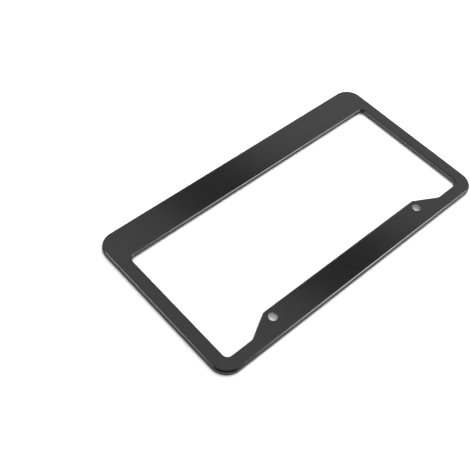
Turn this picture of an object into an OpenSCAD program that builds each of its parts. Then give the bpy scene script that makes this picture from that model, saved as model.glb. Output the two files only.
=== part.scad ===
// Number plate frame pressed from one sheet of metal. It lies on its open back, with the face up.
// X runs along the long side, Y points to the bar with the screw holes and Z points out of the face.
// The origin is at the middle of the back rim, so the frame stands on Z = 0. All sizes are in millimetres.

/* [Overall] */

// Length over the outer walls
frame_length = 310; // [307:0.5:330]
// Width over the outer walls
frame_width = 162.5; // [156:0.5:180]
// Height from the back rim to the face
frame_height = 5; // [4.4:0.1:8]
// Thickness of the sheet
sheet = 0.8; // [0.5:0.1:1.2]
// Radius of the four outer corners
outer_corner_r = 15.5; // [8:0.5:20]

/* [Bars] */

// Width of the plain bar opposite the screw holes
bottom_bar = 30.5; // [16:0.5:45]
// Width of each side bar
side_bar = 13.5; // [12:0.5:20]
// Width of the screw bar between its two slopes
top_bar_middle = 25.2; // [22:0.1:32]
// Width of the screw bar at its two ends
top_bar_end = 12.7; // [11.5:0.1:17]

/* [Bends] */

// Outside radius of every bend between the face and a wall
bend_r = 2; // [1.4:0.1:2.6]
// Depth of the wall around the window, measured down from the face
window_wall = 3.6; // [2.8:0.1:4.2]

/* [Window] */

// Radius of the four window corners
window_corner_r = 4.5; // [2:0.5:10]
// Length of the straight edge between the two slopes, measured between their sharp corners
middle_edge = 184; // [150:1:200]
// Angle of each slope
slope_angle = 28.5; // [20:0.5:45]
// Radius where the straight edge meets a slope
slope_foot_r = 5; // [5:0.5:8]
// Radius where a slope meets the narrow end of the bar
slope_head_r = 5; // [2:0.5:6]

/* [Screw holes] */

// Distance between the two screw holes
hole_spacing = 177.8; // [160:0.1:180]
// Diameter of each screw hole
hole_d = 8; // [5:0.1:9]
// Distance from the outer wall down to the hole centres
hole_from_top = 17.1; // [13:0.1:17.5]

/* [Colour] */

// Colour of the powder coat
coat_colour = "#2f3032";

/* [Hidden] */

// Names of the parts that can be drawn alone
// Part to draw, or all of them
// Smoothness of the round shapes
$fn = 72;
// Width of the flat strip that each bend carries on its inner side
strip = 2;
// How far inside that strip the edge of the flat face runs
lap = 1;
// Half the length, half the width, and the half opening
half_l = frame_length / 2;
half_w = frame_width / 2;
win_x = half_l - side_bar;
// Heights of the window edges along Y: plain bar, middle of the screw bar, ends of the screw bar
win_low = bottom_bar - half_w;
win_mid = half_w - top_bar_middle;
win_end = half_w - top_bar_end;
// The slope: sharp foot, sharp head, and the straight length left between its two round corners
foot_x = middle_edge / 2;
head_x = foot_x + (win_end - win_mid) / tan(slope_angle);
half_turn = tan(slope_angle / 2);
slope_run = (win_end - win_mid) / sin(slope_angle) - (slope_foot_r + slope_head_r) * half_turn;

// Section through a bend and its wall: the wall's outer side is at 0 and the sheet runs on to the right
module section(wall) {
    translate([0, frame_height - wall])
        square([sheet, wall - bend_r]);
    intersection() {
        translate([bend_r, frame_height - bend_r])
            difference() {
                circle(r = bend_r);
                circle(r = bend_r - sheet);
            }
        translate([0, frame_height - bend_r])
            square([bend_r, bend_r]);
    }
    translate([bend_r, frame_height - sheet])
        square([strip, sheet]);
}

// Moves in a coarse and a fine step, so that neighbours meet without a gap when figures are rounded
module at(x, y) {
    translate([round(x * 100) / 100, round(y * 100) / 100, 0])
        translate([x - round(x * 100) / 100, y - round(y * 100) / 100, 0])
            children();
}

// Turns in a coarse and a fine step, for the same reason
module turned(a) {
    coarse = atan2(round(sin(a) * 1e6) / 1e6, round(cos(a) * 1e6) / 1e6);
    rotate([0, 0, a])
        rotate([0, 0, a - coarse])
            children();
}

// Straight edge of a given length along +X, with its wall on Y = 0 and the sheet on the +Y side
module run(length, wall) {
    rotate([90, 0, 90])
        linear_extrude(height = length)
            section(wall);
}

// Straight edge of a length that isn't a round figure, drawn from both ends so that each end is true
module span(length, wall) {
    share = 0.6;
    run(share * length, wall);
    at(length, 0)
        mirror([1, 0, 0])
            run(share * length, wall);
}

// Corner whose sheet lies on the inner side of the wall, as at an outer corner of the frame
module inner_corner(r, from, angle, wall) {
    rotate_extrude(angle = angle, start = from)
        translate([r, 0])
            mirror([1, 0])
                section(wall);
}

// Corner whose sheet lies on the outer side of the wall, as at a corner of the window
module outer_corner(r, from, angle, wall) {
    rotate_extrude(angle = angle, start = from)
        translate([r, 0])
            section(wall);
}

// Folded edge all round the outside
module outer_edge() {
    cx = half_l - outer_corner_r;
    cy = half_w - outer_corner_r;
    for (end = [0, 1])
        rotate([0, 0, 180 * end]) {
            translate([-cx, -half_w, 0])
                run(2 * cx, frame_height);
            translate([half_l, -cy, 0])
                rotate([0, 0, 90])
                    run(2 * cy, frame_height);
            translate([cx, cy, 0])
                inner_corner(outer_corner_r, 0, 90, frame_height);
            translate([-cx, cy, 0])
                inner_corner(outer_corner_r, 90, 90, frame_height);
        }
}

// Half of the folded edge round the window, from the middle line to the right
module half_window_edge() {
    wr = window_corner_r;
    side_low = win_low + wr;
    side_high = win_end - wr;
    foot_cx = foot_x - slope_foot_r * half_turn;
    head_cx = head_x + slope_head_r * half_turn;
    // Plain bar
    translate([win_x - wr, win_low, 0])
        rotate([0, 0, 180])
            run(win_x - wr, window_wall);
    translate([win_x - wr, side_low, 0])
        outer_corner(wr, 270, 90, window_wall);
    // Side bar
    translate([win_x, side_high, 0])
        rotate([0, 0, 270])
            run(side_high - side_low, window_wall);
    translate([win_x - wr, side_high, 0])
        outer_corner(wr, 0, 90, window_wall);
    // Narrow end of the screw bar
    at(head_cx, win_end)
        span(win_x - wr - head_cx, window_wall);
    // Slope with its two round corners, and half of the straight edge
    at(foot_cx, win_mid + slope_foot_r) {
        inner_corner(slope_foot_r, 270, slope_angle, window_wall);
        turned(slope_angle) {
            translate([0, -slope_foot_r, 0])
                span(slope_run, window_wall);
            at(slope_run, -slope_foot_r - slope_head_r)
                outer_corner(slope_head_r, 90 - slope_angle, slope_angle, window_wall);
        }
    }
    translate([0, win_mid, 0])
        span(foot_cx, window_wall);
}

// Folded edge all round the window
module window_edge() {
    half_window_edge();
    mirror([1, 0, 0])
        half_window_edge();
}

// Flat sheet between the two folded edges, lapping a little onto the flat strips that they carry
module flat_face() {
    inset = bend_r + lap;
    ox = half_l - outer_corner_r;
    oy = half_w - outer_corner_r;
    wx = win_x - window_corner_r;
    wr = window_corner_r + inset;
    corner_y = win_end - window_corner_r;
    low_y = win_low + window_corner_r;
    fx = foot_x - inset * half_turn;
    hx = head_x - inset * half_turn;
    translate([0, 0, frame_height - sheet])
        linear_extrude(height = sheet)
            difference() {
                union() {
                    square([2 * ox, frame_width - 2 * inset], center = true);
                    square([frame_length - 2 * inset, 2 * oy], center = true);
                    for (sx = [-1, 1])
                        for (sy = [-1, 1])
                            translate([sx * ox, sy * oy])
                                circle(r = outer_corner_r - inset);
                }
                // Opening: up to the straight edge, then the two round-cornered ends beside it
                translate([-wx, win_low - inset])
                    square([2 * wx, win_mid - win_low + 2 * inset]);
                translate([-wx - wr, low_y])
                    square([2 * (wx + wr), win_mid - low_y]);
                for (sx = [-1, 1]) {
                    polygon([
                        [sx * fx, win_mid + inset],
                        [sx * hx, win_end + inset],
                        [sx * wx, win_end + inset],
                        [sx * wx, corner_y],
                        [sx * (wx + wr), corner_y],
                        [sx * (wx + wr), low_y],
                        [sx * fx, low_y],
                    ]);
                    for (y = [low_y, corner_y])
                        translate([sx * wx, y])
                            circle(r = wr);
                }
            }
}

// The whole frame, one piece of sheet metal
module frame() {
    color(coat_colour)
        difference() {
            union() {
                outer_edge();
                window_edge();
                flat_face();
            }
            for (side = [-1, 1])
                translate([side * hole_spacing / 2, half_w - hole_from_top, frame_height - sheet - 1])
                    cylinder(h = sheet + 2, d = hole_d);
        }
}

frame();
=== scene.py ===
# %% [markdown]
# # A number plate frame in satin black powder coat
# This lesson dresses one piece of folded sheet steel: the frame that goes round a number plate.
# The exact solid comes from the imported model, and everything here is in metres, in its place.
# Black metal is nearly all reflection, so the look comes from true bends, a fine coat and
# well placed lamps.

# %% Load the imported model
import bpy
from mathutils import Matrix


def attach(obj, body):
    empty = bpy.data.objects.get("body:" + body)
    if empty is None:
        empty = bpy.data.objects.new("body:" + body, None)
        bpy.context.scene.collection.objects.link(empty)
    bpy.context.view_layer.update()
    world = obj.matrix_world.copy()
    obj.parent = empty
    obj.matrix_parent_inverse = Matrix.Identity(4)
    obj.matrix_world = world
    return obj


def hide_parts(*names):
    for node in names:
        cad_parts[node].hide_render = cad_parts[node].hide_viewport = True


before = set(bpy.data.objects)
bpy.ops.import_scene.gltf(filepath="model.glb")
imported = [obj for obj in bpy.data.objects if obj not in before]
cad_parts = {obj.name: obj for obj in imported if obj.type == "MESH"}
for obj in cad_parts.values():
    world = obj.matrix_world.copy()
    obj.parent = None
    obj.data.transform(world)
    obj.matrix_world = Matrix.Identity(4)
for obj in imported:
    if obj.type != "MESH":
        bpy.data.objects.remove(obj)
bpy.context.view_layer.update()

# %% Modules used below
import math

import bmesh
import bpy
from mathutils import Matrix, Vector

# %% [markdown]
# The frame's real sizes are written once, in millimetres, and one small function turns them to
# metres. They repeat the sizes of the solid, so the dressed piece fills the same space.

# %% Sizes of the real frame
LENGTH = 310.0
WIDTH = 162.5
HEIGHT = 5.0
SHEET = 0.8
BEND = 2.0
OUTER_CORNER = 15.5
BOTTOM_BAR = 30.5
SIDE_BAR = 13.5
TOP_BAR_MIDDLE = 25.2
TOP_BAR_END = 12.7
WINDOW_WALL = 3.6
WINDOW_CORNER = 4.5
MIDDLE_EDGE = 184.0
SLOPE_ANGLE = math.radians(28.5)
SLOPE_ROUND = 5.0
HOLE_SPACING = 177.8
HOLE_DIAMETER = 8.0
HOLE_FROM_TOP = 17.1

window_x = LENGTH / 2 - SIDE_BAR
window_low = BOTTOM_BAR - WIDTH / 2
window_mid = WIDTH / 2 - TOP_BAR_MIDDLE
window_end = WIDTH / 2 - TOP_BAR_END
foot_x = MIDDLE_EDGE / 2
head_x = foot_x + (window_end - window_mid) / math.tan(SLOPE_ANGLE)
hole_y = WIDTH / 2 - HOLE_FROM_TOP


def mm(size):
    """Millimetres to metres."""
    return size * 0.001


print("window in mm, half width and three heights:",
      window_x, window_low, window_mid, window_end)

# %% [markdown]
# Colours are written as the hex values of a paint chart, and one function turns them to linear
# light. A second small function adds one shader node with its settings and its links.
# A third starts a material, and a fourth turns the real size of a hump into a noise scale.

# %% Colour and node helpers
def linear(hex_colour):
    """An sRGB hex colour as linear RGBA."""
    channels = [int(hex_colour[i:i + 2], 16) / 255 for i in (1, 3, 5)]
    light = [c / 12.92 if c <= 0.04045 else ((c + 0.055) / 1.055) ** 2.4 for c in channels]
    return (*light, 1.0)


def add_node(tree, kind, settings=(), inputs=(), links=()):
    """Adds a node, sets its properties and sockets, and links other nodes' outputs to it."""
    node = tree.nodes.new(kind)
    for name, value in dict(settings).items():
        setattr(node, name, value)
    for name, value in dict(inputs).items():
        node.inputs[name].default_value = value
    for name, socket in dict(links).items():
        tree.links.new(socket, node.inputs[name])
    return node


def empty_material(name):
    """A material with nothing but its output node."""
    material = bpy.data.materials.new(name)
    material.use_nodes = True
    tree = material.node_tree
    tree.nodes.clear()
    return material, tree, add_node(tree, "ShaderNodeOutputMaterial")


def noise_scale(size_mm):
    """Noise scale whose humps are about size_mm across, on coordinates in metres."""
    return 1.0 / mm(size_mm)


print("a middle grey in linear light:", [round(c, 3) for c in linear("#808080")])

# %% [markdown]
# Five more helpers put things into the scene and work on meshes. Two add objects. One turns a
# skin so that its flat looks up, and one rounds corners or edges: a profile of a half gives a
# true arc, and a material of minus one leaves the faces with the material that they have.
# The last one puts a mesh in a fixed order, because Blender's extrude and inset give back the
# same faces in an order that changes from run to run.

# %% Object and mesh helpers
# Decimals of a metre that tell two places apart, so a tenth of a micrometre
PLACE_DIGITS = 7


def add_object(name, data):
    """A new object for a mesh, a lamp or a camera, linked to the scene."""
    thing = bpy.data.objects.new(name, data)
    bpy.context.scene.collection.objects.link(thing)
    return thing


def mesh_object(name, bm, material):
    """A mesh object at the origin, made from bm, in one material."""
    mesh = bpy.data.meshes.new(name)
    bm.to_mesh(mesh)
    bm.free()
    mesh.materials.append(material)
    return add_object(name, mesh)


def turn_face_up(bm):
    """Makes all normals agree, with those of the flat pointing up."""
    bmesh.ops.recalc_face_normals(bm, faces=bm.faces[:])
    if sum(face.normal.z * face.calc_area() for face in bm.faces) < 0:
        bmesh.ops.reverse_faces(bm, faces=bm.faces[:])


def round_off(bm, geom, affect, offset_mm, steps):
    """Rounds corners (VERTICES) or edges (EDGES) in a number of steps."""
    bmesh.ops.bevel(bm, geom=geom, affect=affect, offset_type="OFFSET", offset=mm(offset_mm),
                    segments=steps, profile=0.5, material=-1)


def put_in_order(bm):
    """Sorts vertices by their place, and edges and faces by their vertices."""
    for items, key in ((bm.verts, lambda vert: [round(c, PLACE_DIGITS) for c in vert.co]),
                       (bm.edges, lambda edge: sorted(v.index for v in edge.verts)),
                       (bm.faces, lambda face: sorted(v.index for v in face.verts))):
        rank = {item: number for number, item in enumerate(sorted(items, key=key))}
        items.sort(key=rank.get)
        items.index_update()


print("helpers ready")

# %% [markdown]
# ## The coat
# Satin black powder coat is a plastic that is sprayed on as dry powder and melted in an oven.
# It has the gloss of a hard resin, an IOR of 1.55, over a very dark neutral body, and it keeps
# a soft orange peel: a gentle waviness, with humps about 2 mm across, from the powder as it
# flowed together. A finer tooth, about a quarter of a millimetre, comes from single grains and
# takes the edge off the gloss. Colour drifts a little over a few centimetres, because no coat
# has the same thickness everywhere.

# %% Satin black powder coat
RESIN_IOR = 1.55
THIN_COAT, THICK_COAT = "#1a1a1a", "#161616"
ROUGHNESS_LOW, ROUGHNESS_HIGH = 0.17, 0.25
# Size across of the humps of each pattern
ORANGE_PEEL_MM = 2.2
TOOTH_MM = 0.28
DRIFT_MM = 45.0
# How many finer layers each noise has, and how strong they are
NOISE_DETAIL = 2.0
SOFT_NOISE, PLAIN_NOISE = 0.4, 0.5
# Noise values where the drift's two colours are reached
DRIFT_THIN, DRIFT_THICK = 0.3, 0.7
# Height of each bump, and the share of it that is felt
PEEL_HEIGHT_MM, PEEL_STRENGTH = 0.02, 0.3
TOOTH_HEIGHT_MM, TOOTH_STRENGTH = 0.004, 0.25


def powder_coat():
    """Dark plastic gloss over two sizes of waviness."""
    material, tree, output = empty_material("satin_black_powder_coat")
    place = add_node(tree, "ShaderNodeTexCoord").outputs["Object"]
    peel, tooth, drift = [
        add_node(tree, "ShaderNodeTexNoise", links={"Vector": place},
                 inputs={"Scale": noise_scale(size), "Detail": NOISE_DETAIL, "Roughness": finer})
        for size, finer in ((ORANGE_PEEL_MM, SOFT_NOISE), (TOOTH_MM, PLAIN_NOISE),
                            (DRIFT_MM, PLAIN_NOISE))]
    body = add_node(tree, "ShaderNodeValToRGB", links={"Fac": drift.outputs["Fac"]})
    thin, thick = body.color_ramp.elements
    thin.position, thin.color = DRIFT_THIN, linear(THIN_COAT)
    thick.position, thick.color = DRIFT_THICK, linear(THICK_COAT)
    gloss = add_node(tree, "ShaderNodeMapRange",
                     inputs={"To Min": ROUGHNESS_LOW, "To Max": ROUGHNESS_HIGH},
                     links={"Value": tooth.outputs["Fac"]})
    waves = add_node(tree, "ShaderNodeBump",
                     inputs={"Strength": PEEL_STRENGTH, "Distance": mm(PEEL_HEIGHT_MM)},
                     links={"Height": peel.outputs["Fac"]})
    grains = add_node(tree, "ShaderNodeBump",
                      inputs={"Strength": TOOTH_STRENGTH, "Distance": mm(TOOTH_HEIGHT_MM)},
                      links={"Height": tooth.outputs["Fac"], "Normal": waves.outputs["Normal"]})
    coat = add_node(tree, "ShaderNodeBsdfPrincipled",
                    inputs={"IOR": RESIN_IOR, "Metallic": 0.0},
                    links={"Base Color": body.outputs["Color"],
                           "Roughness": gloss.outputs["Result"],
                           "Normal": grains.outputs["Normal"]})
    tree.links.new(coat.outputs["BSDF"], output.inputs["Surface"])
    return material


coat_material = powder_coat()
print("made", coat_material.name, "with a body of",
      [round(linear(colour)[0], 4) for colour in (THIN_COAT, THICK_COAT)], "in linear light")

# %% [markdown]
# ## The blank
# The real frame starts as a flat blank cut from sheet. Its two halves mirror each other, so only
# the right half is drawn, as one flat face that runs round the half window like a letter C.
# A vertex bevel rounds the six corners that have a radius. Its offset is the radius times the
# tangent of half the turn, which makes the arc run into both edges without a kink.
# Mirror then adds the left half and joins the seam.

# %% Draw the right half of the blank and mirror it
DEGREES_PER_STEP = 5
FEWEST_STEPS = 6
# Corners of the two halves that are closer than this become one
SEAM_MM = 0.0001

half_outline = [
    (0, -WIDTH / 2, 0),
    (LENGTH / 2, -WIDTH / 2, OUTER_CORNER),
    (LENGTH / 2, WIDTH / 2, OUTER_CORNER),
    (0, WIDTH / 2, 0),
    (0, window_mid, 0),
    (foot_x, window_mid, SLOPE_ROUND),
    (head_x, window_end, SLOPE_ROUND),
    (window_x, window_end, WINDOW_CORNER),
    (window_x, window_low, WINDOW_CORNER),
    (0, window_low, 0),
]

bm = bmesh.new()
corners = [bm.verts.new((mm(x), mm(y), mm(HEIGHT))) for x, y, radius in half_outline]
bm.faces.new(corners)
for index, (x, y, radius) in enumerate(half_outline):
    if not radius:
        continue
    here = Vector((x, y))
    before = Vector(half_outline[index - 1][:2])
    after = Vector(half_outline[(index + 1) % len(half_outline)][:2])
    turn = (here - before).angle(after - here)
    round_off(bm, [corners[index]], "VERTICES", radius * math.tan(turn / 2),
              max(FEWEST_STEPS, round(math.degrees(turn) / DEGREES_PER_STEP)))
bmesh.ops.mirror(bm, geom=bm.verts[:] + bm.edges[:] + bm.faces[:], axis="X",
                 merge_dist=mm(SEAM_MM))
turn_face_up(bm)
print("blank:", len(bm.faces), "faces and",
      len([edge for edge in bm.edges if edge.is_boundary]), "boundary edges")

# %% [markdown]
# ## The folds
# A press folds the outer edge and the window's edge down. Here an extrude of the boundary makes
# both walls. The outer wall reaches the surface that the frame lies on. The window's wall stops
# short of it, which leaves the number plate its seat behind the frame.
# An edge bevel along both folds then gives them the bend's outside radius, in twelve steps for
# a smooth glint.

# %% Fold both walls down and round the folds
FOLD_STEPS = 12


def on_outline(vert):
    """True outside the middle of the bars, so on the outer wall and not on the window's."""
    across = abs(vert.co.x) > mm(window_x + SIDE_BAR / 2)
    above = vert.co.y > mm(window_end + TOP_BAR_END / 2)
    below = vert.co.y < mm(window_low - BOTTOM_BAR / 2)
    return across or above or below


folds = [edge for edge in bm.edges if edge.is_boundary]
extruded = bmesh.ops.extrude_edge_only(bm, edges=folds)["geom"]
rims = [item for item in extruded if isinstance(item, bmesh.types.BMVert)]
for depth, verts in ((HEIGHT, [v for v in rims if on_outline(v)]),
                     (WINDOW_WALL, [v for v in rims if not on_outline(v)])):
    bmesh.ops.translate(bm, verts=verts, vec=(0, 0, -mm(depth)))
turn_face_up(bm)
round_off(bm, folds, "EDGES", BEND, FOLD_STEPS)
print("after folding:", len(bm.faces), "faces")

# %% [markdown]
# ## The screw holes
# A hole in a flat face needs new edges round it. The flat is first inset by a hair, so that
# smooth shading stays dead level between the bends, and then taken out. Each hole is a circle
# with a narrow ring of its own, and triangle fill closes the flat again between the ring of the
# bends and the rings of the holes.

# %% Punch the two screw holes
LEVEL_RING = 0.3
HOLE_STEPS = 64


def two_flats():
    """The flat faces of the left and the right half, by far the largest."""
    return sorted(bm.faces, key=lambda face: face.calc_area())[-2:]


bmesh.ops.inset_region(bm, faces=two_flats(), thickness=mm(LEVEL_RING), use_even_offset=True)
bmesh.ops.delete(bm, geom=two_flats(), context="FACES_KEEP_BOUNDARY")
bmesh.ops.delete(bm, geom=[edge for edge in bm.edges if edge.is_wire], context="EDGES")
open_edges = [edge for edge in bm.edges
              if edge.is_boundary and all(v.co.z > mm(HEIGHT - SHEET / 2) for v in edge.verts)]
wider = 1 + 2 * LEVEL_RING / HOLE_DIAMETER
for side in (-1, 1):
    centre = Vector((side * mm(HOLE_SPACING / 2), mm(hole_y), mm(HEIGHT)))
    circle = bmesh.ops.create_circle(bm, cap_ends=False, segments=HOLE_STEPS,
                                     radius=mm(HOLE_DIAMETER / 2),
                                     matrix=Matrix.Translation(centre))["verts"]
    edge_of_hole = list(dict.fromkeys(edge for vert in circle for edge in vert.link_edges))
    ring = bmesh.ops.extrude_edge_only(bm, edges=edge_of_hole)["geom"]
    ring_verts = [item for item in ring if isinstance(item, bmesh.types.BMVert)]
    bmesh.ops.scale(bm, verts=ring_verts, vec=(wider, wider, 1),
                    space=Matrix.Translation(-centre))
    open_edges += [item for item in ring if isinstance(item, bmesh.types.BMEdge)
                   and set(item.verts) <= set(ring_verts)]
filled = bmesh.ops.triangle_fill(bm, edges=open_edges, use_beauty=True, normal=(0, 0, 1))["geom"]
print("flat filled with",
      len([item for item in filled if isinstance(item, bmesh.types.BMFace)]), "triangles")

# %% [markdown]
# ## The thickness of the sheet
# Solidify gives the skin the sheet's thickness on its inner side, so the bends get their true
# inside radius and every cut edge its width. The coat gathers a little on a cut edge and rounds
# it, so the sharp edges of the rims and of the holes get a bevel of a tenth of a millimetre.

# %% Give the sheet its thickness and round its cut edges
CUT_EDGE_ROUND = 0.1
CUT_EDGE_STEPS = 2
SHARP = math.radians(60)

put_in_order(bm)
turn_face_up(bm)
bmesh.ops.solidify(bm, geom=bm.faces[:], thickness=mm(SHEET))
bm.normal_update()
cut_edges = [edge for edge in bm.edges if edge.is_manifold and edge.calc_face_angle() > SHARP]
round_off(bm, cut_edges, "EDGES", CUT_EDGE_ROUND, CUT_EDGE_STEPS)
print("closed:", all(edge.is_manifold for edge in bm.edges),
      "volume in cubic centimetres:", round(bm.calc_volume() * 1e6, 2))

# %% [markdown]
# The finished mesh becomes an object at the origin. Its bends are shaded smooth, and the cut
# edges stay crisp, because every edge that turns by 20 degrees or more is marked sharp.
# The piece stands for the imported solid, rides on the part's only body and takes the coat's slot.

# %% Hand the piece over
CRISP = math.radians(20)

for face in bm.faces:
    face.smooth = True
for edge in bm.edges:
    edge.smooth = edge.calc_face_angle() < CRISP
folded_frame = mesh_object("folded_frame", bm, coat_material)
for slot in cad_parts["frame"].material_slots:
    slot.material = coat_material
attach(folded_frame, "root")
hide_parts("frame")
print("folded_frame:", len(folded_frame.data.polygons), "faces, size in mm:",
      [round(side * 1000, 2) for side in folded_frame.dimensions])

# %% [markdown]
# ## The floor
# The frame lies on matt white paper, which takes the frame's soft shadow. The light stays at a
# level where the paper would render about as its colour is written. A photographer would expose
# it to pure white, so for rays from the camera its colour is raised by two thirds, and for gloss
# by a fifth, with no more light on the frame.

# %% White paper floor
PAPER_WHITE = "#f6f6f6"
PAPER_ROUGHNESS = 0.5
CAMERA_GAIN = 0.67
GLOSS_GAIN = 0.2
HALF_FLOOR_M = 3.0


def white_paper():
    """Matt white, brighter for camera rays and a little for gloss rays."""
    material, tree, output = empty_material("matt_white_paper")
    rays = add_node(tree, "ShaderNodeLightPath")
    shine = add_node(tree, "ShaderNodeMath", {"operation": "MULTIPLY_ADD"})
    tree.links.new(rays.outputs["Is Glossy Ray"], shine.inputs[0])
    shine.inputs[1].default_value, shine.inputs[2].default_value = GLOSS_GAIN, 1.0
    gain = add_node(tree, "ShaderNodeMath", {"operation": "MULTIPLY_ADD"})
    tree.links.new(rays.outputs["Is Camera Ray"], gain.inputs[0])
    gain.inputs[1].default_value = CAMERA_GAIN
    tree.links.new(shine.outputs["Value"], gain.inputs[2])
    tone = add_node(tree, "ShaderNodeVectorMath", {"operation": "SCALE"},
                    links={"Scale": gain.outputs["Value"]})
    tone.inputs[0].default_value = linear(PAPER_WHITE)[:3]
    matt = add_node(tree, "ShaderNodeBsdfDiffuse", inputs={"Roughness": PAPER_ROUGHNESS},
                    links={"Color": tone.outputs["Vector"]})
    tree.links.new(matt.outputs["BSDF"], output.inputs["Surface"])
    return material


bm = bmesh.new()
bmesh.ops.create_grid(bm, x_segments=1, y_segments=1, size=HALF_FLOOR_M)
paper_floor = mesh_object("paper_floor", bm, white_paper())
print("paper floor, sides in metres:", [round(side, 2) for side in paper_floor.dimensions[:2]])

# %% [markdown]
# ## The light
# Black gloss shows what stands round it, so the studio is laid out with the same care as the
# frame. A white wall stands opposite the camera and fades out a little before it is overhead.
# Its reflection makes the flat bars grey. Above and behind the camera the room is dark.
# The folds turn from the one to the other, so the near corner shows that darkness as a black
# band just under the flat.

# %% Studio room
# Direction of the wall's middle, in degrees from +X towards +Y
WALL_AZIMUTH = 214
# Cosine of the angle from that direction: where the wall ends, and where it is fully white
WALL_END, WALL_FULL = 0.05, 0.32
# Brightness of the wall and of the room, as gloss and as matt surfaces meet it
GLOSS_WALL, GLOSS_ROOM = 0.93, 0.05
MATT_WALL, MATT_ROOM = 0.92, 0.65
# Brightness of the background that the camera sees
CLEAR_WHITE = 1.0


def studio_room():
    """A white wall opposite the camera, and a dark room above and behind the camera."""
    world = bpy.data.worlds.new("studio_room")
    world.use_nodes = True
    tree = world.node_tree
    tree.nodes.clear()
    azimuth = math.radians(WALL_AZIMUTH)
    looking = add_node(tree, "ShaderNodeTexCoord").outputs["Generated"]
    facing = add_node(tree, "ShaderNodeVectorMath", {"operation": "DOT_PRODUCT"})
    tree.links.new(looking, facing.inputs[0])
    facing.inputs[1].default_value = (math.cos(azimuth), math.sin(azimuth), 0.0)
    wall = add_node(tree, "ShaderNodeMapRange", {"interpolation_type": "SMOOTHSTEP"},
                    {"From Min": WALL_END, "From Max": WALL_FULL},
                    {"Value": facing.outputs["Value"]})
    gloss, matt = [
        add_node(tree, "ShaderNodeMapRange", inputs={"To Min": dark, "To Max": white},
                 links={"Value": wall.outputs["Result"]})
        for dark, white in ((GLOSS_ROOM, GLOSS_WALL), (MATT_ROOM, MATT_WALL))]
    rays = add_node(tree, "ShaderNodeLightPath")
    clear = add_node(tree, "ShaderNodeMath", {"operation": "MAXIMUM"})
    tree.links.new(rays.outputs["Is Camera Ray"], clear.inputs[0])
    tree.links.new(rays.outputs["Is Transmission Ray"], clear.inputs[1])
    reflected = add_node(tree, "ShaderNodeMix", {"data_type": "FLOAT"},
                         links={"Factor": rays.outputs["Is Glossy Ray"],
                                "A": matt.outputs["Result"], "B": gloss.outputs["Result"]})
    strength = add_node(tree, "ShaderNodeMix", {"data_type": "FLOAT"}, {"B": CLEAR_WHITE},
                        {"Factor": clear.outputs["Value"], "A": reflected.outputs["Result"]})
    light = add_node(tree, "ShaderNodeBackground", inputs={"Color": (1, 1, 1, 1)},
                     links={"Strength": strength.outputs["Result"]})
    output = add_node(tree, "ShaderNodeOutputWorld")
    tree.links.new(light.outputs["Background"], output.inputs["Surface"])
    return world


bpy.context.scene.world = studio_room()
bpy.context.scene.view_settings.view_transform = "Standard"
print("light on matt surfaces from the wall and from the room:", MATT_WALL, MATT_ROOM)

# %% [markdown]
# Every fold turns through a quarter circle, so it mirrors any lamp somewhere, as a thin bright
# line. Two softboxes, one on each side of the camera and about 40 degrees above the floor, make
# those lines. They are bright, so they light nothing matt, or the paper would get two more
# shadows. A third softbox, high behind the frame, lights only what is matt, mostly the paper.
# Its soft shadow falls towards the camera, and its light comes through the screw holes on the
# side near the camera. Gloss sees the white wall there instead.

# %% Softboxes
SOFTBOX_DISTANCE_M = 1.1


def facing_frame(azimuth, elevation, distance):
    """A place in the sky with its front to the frame. Azimuth runs from +X towards +Y."""
    az, el = math.radians(azimuth), math.radians(elevation)
    away = Vector((math.cos(az) * math.cos(el), math.sin(az) * math.cos(el), math.sin(el)))
    return Matrix.LocRotScale(away * distance, away.to_track_quat("Z", "Y"), None)


def softbox(name, lights, azimuth, elevation, width, height, radiance):
    """A rectangular lamp for gloss or for matt surfaces. Mirrors show it as bright as radiance."""
    lamp = bpy.data.lights.new(name, "AREA")
    lamp.shape, lamp.size, lamp.size_y = "RECTANGLE", width, height
    lamp.energy = radiance * math.pi * width * height
    box = add_object(name, lamp)
    box.matrix_world = facing_frame(azimuth, elevation, SOFTBOX_DISTANCE_M)
    box.visible_camera = False
    box.visible_glossy = lights == "gloss"
    box.visible_diffuse = lights == "matt"
    print(name, "lights", lights, "and gives", round(lamp.energy, 1), "W")


softbox("softbox_right", "gloss", azimuth=131, elevation=38, width=0.6, height=0.45, radiance=15.0)
softbox("softbox_left", "gloss", azimuth=-31, elevation=40, width=0.5, height=0.34, radiance=11.0)
softbox("softbox_behind", "matt", azimuth=205, elevation=60, width=0.45, height=0.45, radiance=7.1)

# %% [markdown]
# A soft dark patch lies across both long bars. It is the reflection of something dark between
# the frame and the white wall, so a black card hangs level there, wider at the end near the
# frame. Only gloss can see it. It keeps no light off the frame and throws no shadow.

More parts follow.
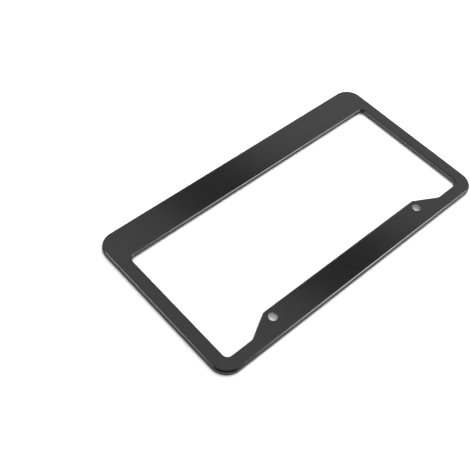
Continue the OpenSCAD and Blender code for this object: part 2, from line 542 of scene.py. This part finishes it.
# %% Dark card
def dark_card(name, centre, along, near_width, far_width, length):
    """A level black card over the frame, wider at its near end, that only gloss can see."""
    # A square with sides of one metre, scaled to the length and to the width at each end
    bm = bmesh.new()
    bmesh.ops.create_grid(bm, x_segments=1, y_segments=1, size=0.5)
    bmesh.ops.scale(bm, verts=bm.verts[:], vec=(1, length, 1))
    bmesh.ops.scale(bm, verts=[v for v in bm.verts if v.co.y < 0], vec=(near_width, 1, 1))
    bmesh.ops.scale(bm, verts=[v for v in bm.verts if v.co.y > 0], vec=(far_width, 1, 1))
    turn = Vector(along).to_track_quat("Y", "Z")
    bmesh.ops.transform(bm, verts=bm.verts[:],
                        matrix=Matrix.LocRotScale(Vector(centre), turn, None))
    material, tree, output = empty_material("black_card")
    black = add_node(tree, "ShaderNodeEmission",
                     inputs={"Color": linear("#000000"), "Strength": 0.0})
    tree.links.new(black.outputs["Emission"], output.inputs["Surface"])
    card = mesh_object(name, bm, material)
    card.visible_camera = card.visible_diffuse = card.visible_shadow = False
    card.visible_transmission = card.visible_volume_scatter = False
    print(name, "hangs at", [round(c, 3) for c in centre])


dark_card("dark_card", centre=(-0.3572, -0.2855, 0.6), along=(0.0712, -0.285, 0),
          near_width=0.227, far_width=0.171, length=0.7)

# %% [markdown]
# ## The camera
# The camera stands on the side of the screw bar and looks down at about 53 degrees. Its place,
# its aim and its lens were found by laying the frame's straight edges and its two holes over
# the photograph's.

# %% Camera
LENS_MM = 60.46
SENSOR_MM = 36.0
camera_place = Vector((0.359663, 0.253833, 0.536599))
looks_along = Vector((-0.45107, -0.40164, -0.79701)).normalized()
to_the_right = Vector((-0.74020, 0.66729, 0.08265))
upwards = to_the_right.cross(looks_along).normalized()
to_the_right = looks_along.cross(upwards)

lens = bpy.data.cameras.new("camera")
lens.lens, lens.sensor_width = LENS_MM, SENSOR_MM
camera = add_object("camera", lens)
turn = Matrix((to_the_right, upwards, -looks_along)).transposed()
camera.matrix_world = Matrix.LocRotScale(camera_place, turn.to_quaternion(), None)
bpy.context.scene.camera = camera
print("camera at", [round(c, 4) for c in camera.location])
